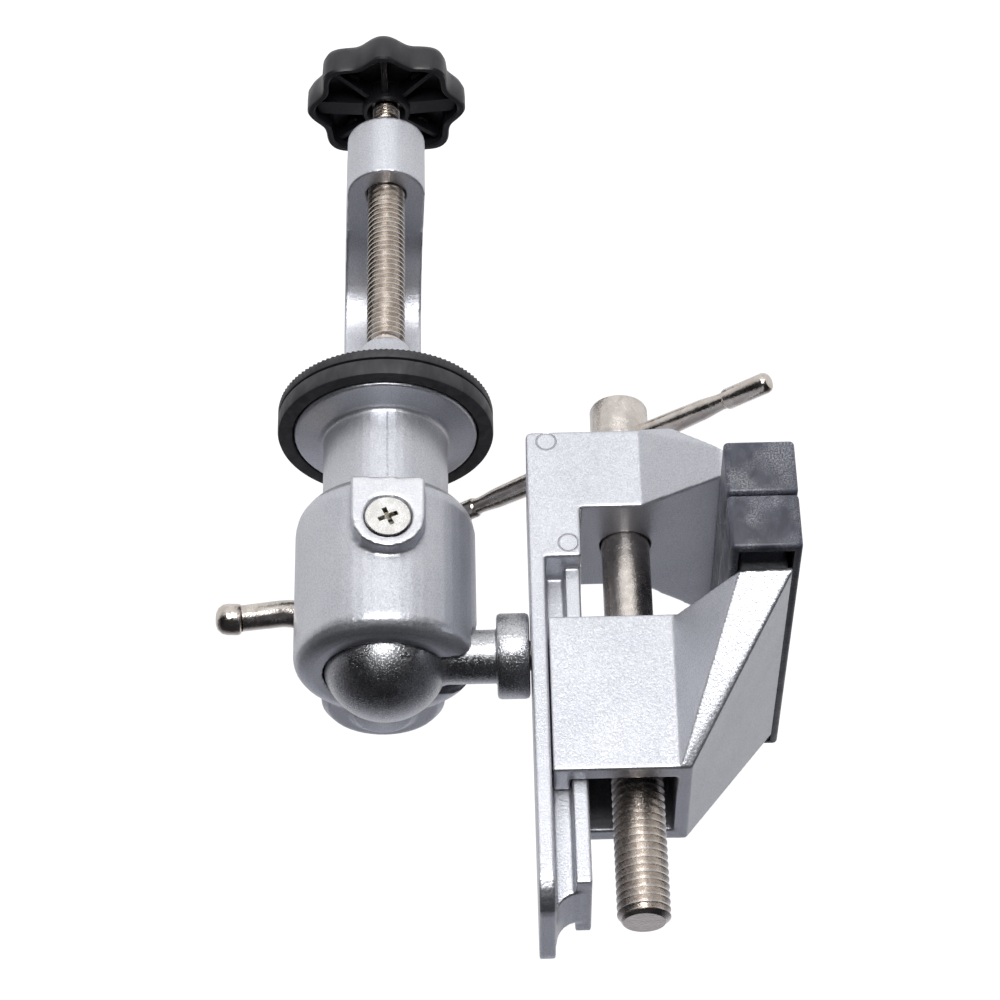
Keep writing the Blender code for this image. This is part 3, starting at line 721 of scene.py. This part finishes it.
def white_floor():
    """A pale floor that is plain white to the camera and lights the object less towards the front."""
    bm = bmesh.new()
    bmesh.ops.create_grid(bm, x_segments=1, y_segments=1, size=FLOOR_SIZE,
                          matrix=Matrix.Translation((0, 0, FLOOR_Z)))
    mesh = bpy.data.meshes.new("floor")
    bm.to_mesh(mesh)
    bm.free()
    floor = bpy.data.objects.new("floor", mesh)
    bpy.context.scene.collection.objects.link(floor)
    ground = Shader("pale_floor", (0.9, 0.9, 0.9), 0.9, 0.0, 0.0)
    ground.set("Base Color", ground.grey(ground.noise(60.0, 2.0), (0.3, 0.86), (0.7, 0.9)))
    ground.base.inputs["Emission Color"].default_value = (1, 1, 1, 1)
    fade = ground.span(ground.axis("Y"), 0.05, 0.4, FLOOR_NEAR, FLOOR_FRONT)
    seen = ground.node("ShaderNodeLightPath").outputs["Is Camera Ray"]
    ground.set("Emission Strength", ground.math("MAXIMUM", fade, seen))
    mesh.materials.append(ground.made)
    floor.visible_shadow = False


def softbox(name, where, width, height, power, aim=(0.02, 0.0, 0.02)):
    light = bpy.data.lights.new(name, "AREA")
    light.shape = "RECTANGLE"
    light.size = width
    light.size_y = height
    light.energy = power
    obj = bpy.data.objects.new(name, light)
    bpy.context.scene.collection.objects.link(obj)
    obj.location = where
    obj.rotation_euler = (Vector(aim) - Vector(where)).to_track_quat("-Z", "Y").to_euler()


def studio_world():
    """White behind the object, dimmer at its sides, and dark in front, where the photographer stands."""
    world = bpy.data.worlds.new("studio")
    tree = NodeTree(world)
    way = tree.node("ShaderNodeTexCoord").outputs["Generated"]
    toward = tree.node("ShaderNodeVectorMath", {0: way, 1: FRONT}, operation="DOT_PRODUCT").outputs["Value"]
    sideways = tree.math("ABSOLUTE", tree.node("ShaderNodeSeparateXYZ", {0: way}).outputs["X"])
    glow = tree.span(toward, -0.45, 0.35, WORLD_BACK, WORLD_FRONT)
    dimming = tree.span(sideways, 0.25, 0.8, 1.0, WORLD_SIDE)
    seen = tree.node("ShaderNodeLightPath").outputs["Is Camera Ray"]
    strength = tree.math("MAXIMUM", tree.math("MULTIPLY", glow, dimming), seen)
    background = tree.nodes["Background"]
    tree.links.new(strength, background.inputs["Strength"])
    background.inputs["Color"].default_value = (0.91, 0.92, 1.0, 1)
    bpy.context.scene.world = world


white_floor()
softbox("overhead", (0.0, 1.0, -0.16), 0.55, 1.1, 12.8)
softbox("left_fill", (-1.1, 0.3, -0.5), 0.3, 0.5, 0.2)
studio_world()
bpy.context.scene.view_settings.view_transform = "Standard"

# ---------------------------------------------------------------- camera
LOOK_DOWN = math.radians(33.5)
ROLL = math.radians(1.37)
CAMERA_PLACE = Vector((0.02274, 0.48515, 0.34073))
LENS, SENSOR = 105.44, 36.0


def camera():
    """Looks along -Y and down, with the clamp's knob at the top of the picture, rolled a little."""
    ahead = Vector((0, -math.cos(LOOK_DOWN), -math.sin(LOOK_DOWN)))
    level_right = Vector((1, 0, 0))
    level_down = Vector((0, -math.sin(LOOK_DOWN), math.cos(LOOK_DOWN)))
    right = math.cos(ROLL) * level_right + math.sin(ROLL) * level_down
    down = -math.sin(ROLL) * level_right + math.cos(ROLL) * level_down
    data = bpy.data.cameras.new("camera")
    data.sensor_width = SENSOR
    data.lens = LENS
    obj = bpy.data.objects.new("camera", data)
    bpy.context.scene.collection.objects.link(obj)
    turn = Matrix((right, -down, -ahead)).transposed().to_4x4()
    obj.matrix_world = Matrix.Translation(CAMERA_PLACE) @ turn
    bpy.context.scene.camera = obj


camera()
